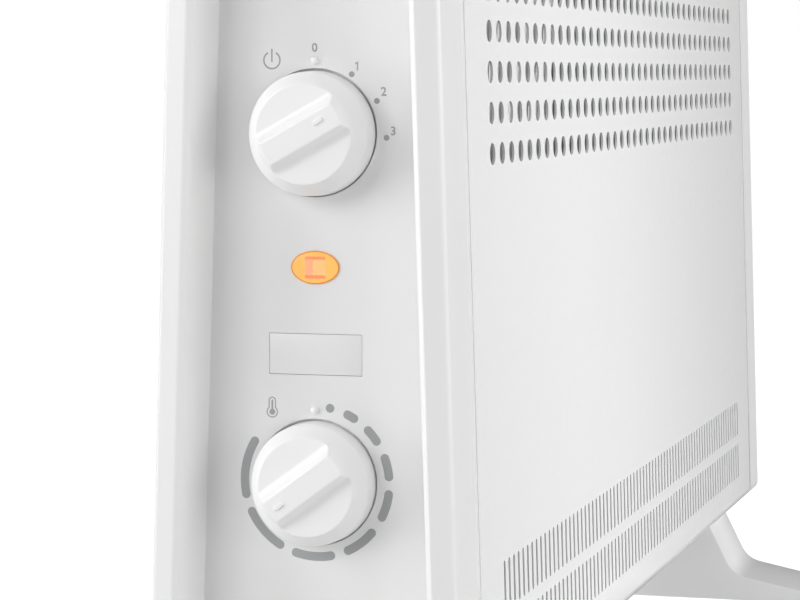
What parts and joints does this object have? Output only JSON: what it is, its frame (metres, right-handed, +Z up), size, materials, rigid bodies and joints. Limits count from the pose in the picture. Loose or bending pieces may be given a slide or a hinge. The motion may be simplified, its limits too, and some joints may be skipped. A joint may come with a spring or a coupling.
{
  "type": "convector heater",
  "caption": "Free-standing convector heater: perforated steel casing with dished end caps, moulded feet, a heat selector knob, a thermostat knob and a mains lamp.",
  "frame": {"origin": "on the floor, under the middle of the casing", "axes": "+Z up, +X along the casing away from the control end, -Y towards the front panel"},
  "size_m": [0.5916, 0.21, 0.385],
  "materials": {
    "white_enamel": "smooth satin enamel",
    "white_moulding": "fine satin moulding",
    "knob_moulding": "soft gloss",
    "galvanised_sheet": "galvanised",
    "bright_sheet": "bright rolled",
    "zinc_screw": "bright zinc plate",
    "element_sheath": "heat-dulled stainless steel",
    "fin_sheet": "plain rolled",
    "steatite": "unglazed steatite",
    "dark_phenolic": "dull moulded phenolic",
    "pale_polyamide": "natural polyamide",
    "spring_steel": "blued spring steel",
    "brass": "turned brass",
    "bimetal": "bare bimetal",
    "lens_amber": "clear orange moulding",
    "neon_glass": "clear glass",
    "pad_rubber": "matt rubber",
    "gland_rubber": "matt rubber",
    "wire_insulation": "silicone insulation"
  },
  "bodies": {
    "casing": {"base_plate": "galvanised_sheet", "bimetal_strip": "bimetal", "blanking_plate": "white_moulding", "cap_screws": "zinc_screw", "ceramic_bushes": "steatite", "control_end_cap": "white_moulding", "cord_gland": "gland_rubber", "cutout_bracket": "galvanised_sheet", "foot_pads": "pad_rubber", "foot_screws": "zinc_screw", "front_panel": "white_enamel", "heat_shield": "bright_sheet", "high_heat_element": "element_sheath", "high_heat_fins": "fin_sheet", "indicator_lens": "lens_amber", "inner_wires": "wire_insulation", "left_bulkhead": "galvanised_sheet", "left_foot": "white_moulding", "low_heat_element": "element_sheath", "low_heat_fins": "fin_sheet", "neon_lamp": "neon_glass", "plain_end_cap": "white_moulding", "rear_panel": "white_enamel", "rear_screws": "zinc_screw", "right_bulkhead": "galvanised_sheet", "right_foot": "white_moulding", "selector_cover": "pale_polyamide", "selector_screws": "zinc_screw", "selector_switch": "dark_phenolic", "terminal_block": "pale_polyamide", "thermal_cutout": "dark_phenolic", "thermostat_frame": "galvanised_sheet", "thermostat_nut": "zinc_screw", "thermostat_stack": "steatite", "top_grille": "white_enamel"},
    "selector": {"selector_knob": "knob_moulding", "selector_shaft": "pale_polyamide", "selector_clip": "spring_steel"},
    "thermostat": {"thermostat_knob": "knob_moulding", "thermostat_shaft": "brass", "thermostat_clip": "spring_steel"}
  },
  "joints": [
    {"name": "selector_turn", "type": "hinge", "parent": "casing", "child": "selector", "pos_m": [-0.2798, 0, 0.2352], "axis": [1, 0, 0], "range_deg": [-61, 32]},
    {"name": "thermostat_turn", "type": "hinge", "parent": "casing", "child": "thermostat", "pos_m": [-0.2798, 0, 0.1272], "axis": [1, 0, 0], "range_deg": [-224, 69]}
  ]
}
